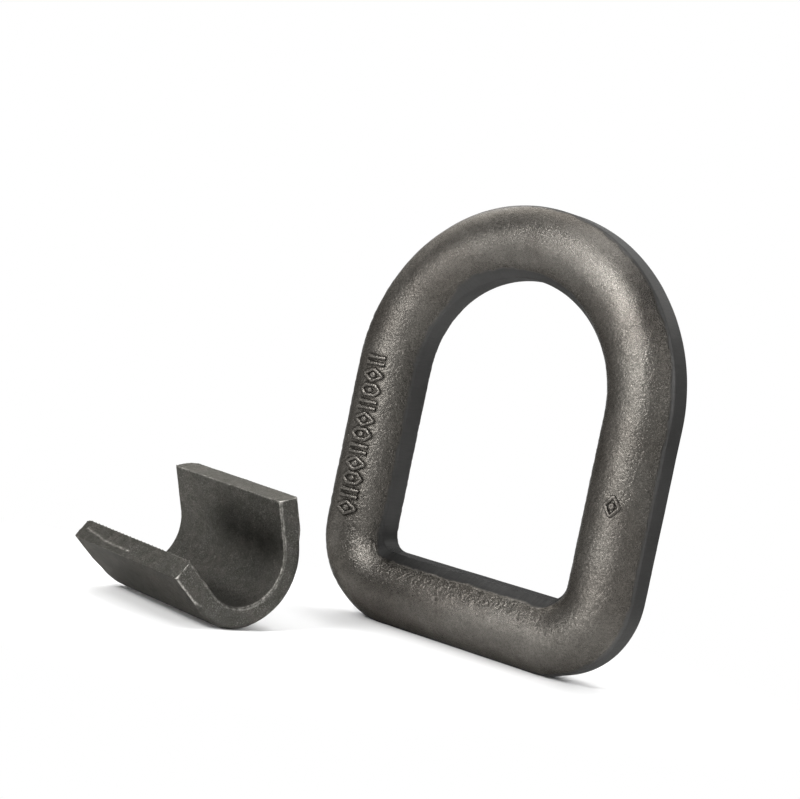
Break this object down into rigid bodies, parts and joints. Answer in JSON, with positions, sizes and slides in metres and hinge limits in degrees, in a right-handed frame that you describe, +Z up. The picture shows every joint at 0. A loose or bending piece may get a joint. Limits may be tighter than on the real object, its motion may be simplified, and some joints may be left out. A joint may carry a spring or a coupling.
{
  "type": "weld-on d-ring",
  "caption": "Forged steel D-shaped ring with a straight bar, and the U-shaped bracket that welds over that bar to hold the ring as a lashing and towing point.",
  "frame": {"origin": "middle of the flat land on the underside of the ring's straight bar", "axes": "+X along the straight bar to the right, +Y through the ring's eye away from the viewer, +Z up the ring to its arch"},
  "size_m": [0.1494, 0.124, 0.1489],
  "materials": {
    "ring_steel": "forged and shot-blasted, bare, grey-brown",
    "bracket_steel": "forged with dark scale, bare and matt"
  },
  "bodies": {
    "root": {"d_ring": "ring_steel", "weld_bracket": "bracket_steel"}
  },
  "joints": []
}
